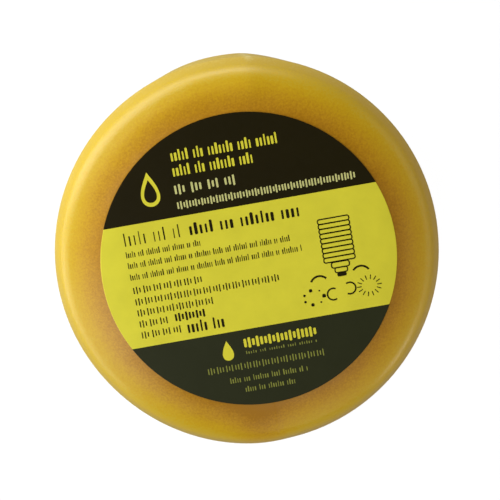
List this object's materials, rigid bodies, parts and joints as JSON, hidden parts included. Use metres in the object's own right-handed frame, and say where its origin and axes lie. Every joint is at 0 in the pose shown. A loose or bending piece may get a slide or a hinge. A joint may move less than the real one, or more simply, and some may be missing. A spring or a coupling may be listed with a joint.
{
  "type": "bellows grease cartridge",
  "caption": "Round bellows grease cartridge with a flat labelled closed end, folded translucent walls full of amber grease, a stepped neck and a ribbed screw cap.",
  "frame": {"origin": "middle of the cap's outer face, on the surface that the cartridge stands on", "axes": "+Z along the cartridge's axis towards the labelled closed end, +Y towards the top edge of the label's print"},
  "size_m": [0.1, 0.1, 0.1455],
  "materials": {
    "milky_plastic": "satin, translucent, amber from the grease behind it",
    "amber_grease": "soft, glossy",
    "printed_label": "satin film with black and yellow print fields",
    "cap_plastic": "moulded, satin",
    "gasket_foam": "matt"
  },
  "bodies": {
    "container": {"bellows_container": "milky_plastic", "grease_fill": "amber_grease"},
    "closed_end": {"end_label": "printed_label"},
    "gasket": {"cap_gasket": "gasket_foam"},
    "cap": {"screw_cap": "cap_plastic"}
  },
  "joints": [
    {"name": "bellows_collapse", "type": "slide", "parent": "container", "child": "closed_end", "axis": [0, 0, -1], "range_m": [0, 0.05], "deforming": ["bellows_container", "grease_fill"]},
    {"name": "cap_lift", "type": "slide", "parent": "container", "child": "gasket", "axis": [0, 0, -1], "range_m": [0, 0.0181]},
    {"name": "cap_turn", "type": "hinge", "parent": "gasket", "child": "cap", "pos_m": [0, 0, 0.0022], "axis": [0, 0, -1], "range_deg": [0, 1620]}
  ],
  "couplings": [
    {"joint": "cap_lift", "follows": "cap_turn", "m_per_rad": 0.00063662}
  ]
}
